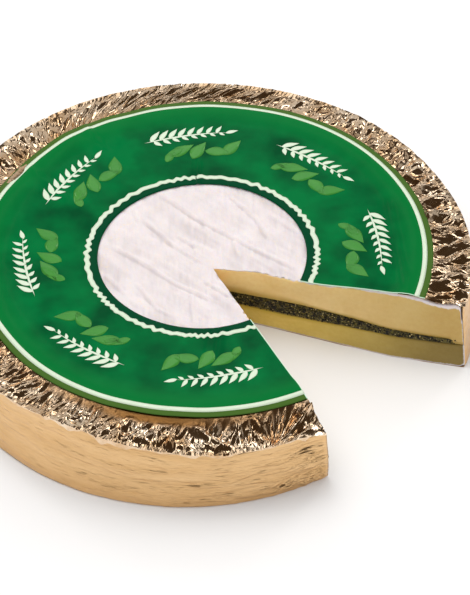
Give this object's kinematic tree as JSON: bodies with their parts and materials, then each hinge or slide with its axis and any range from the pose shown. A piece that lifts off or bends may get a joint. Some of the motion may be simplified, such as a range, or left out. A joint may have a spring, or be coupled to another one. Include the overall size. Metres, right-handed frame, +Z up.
{
  "type": "foil-wrapped cheese wheel",
  "caption": "Round soft cheese wheel with a white rind and a herb layer, in gold foil with a ring label on top, and a wedge cut out.",
  "frame": {"origin": "middle of the wheel's round foot on the surface it rests on", "axes": "+Z up along the wheel's axis; the cut opens towards +X and -Y"},
  "size_m": [0.264, 0.264, 0.0403],
  "materials": {
    "lower_paste": "moist satin cheese paste with a thin pale rind",
    "pesto": "coarse oily herb paste",
    "upper_paste": "moist satin cheese paste under a matte white felted rind",
    "foil": "gold-coloured wrinkled foil, satin on the side and bright at the rim",
    "label": "glossy printed film"
  },
  "bodies": {
    "root": {"lower_paste": "lower_paste", "pesto_layer": "pesto", "upper_paste": "upper_paste", "foil_wrap": "foil", "label_ring": "label"}
  },
  "joints": []
}
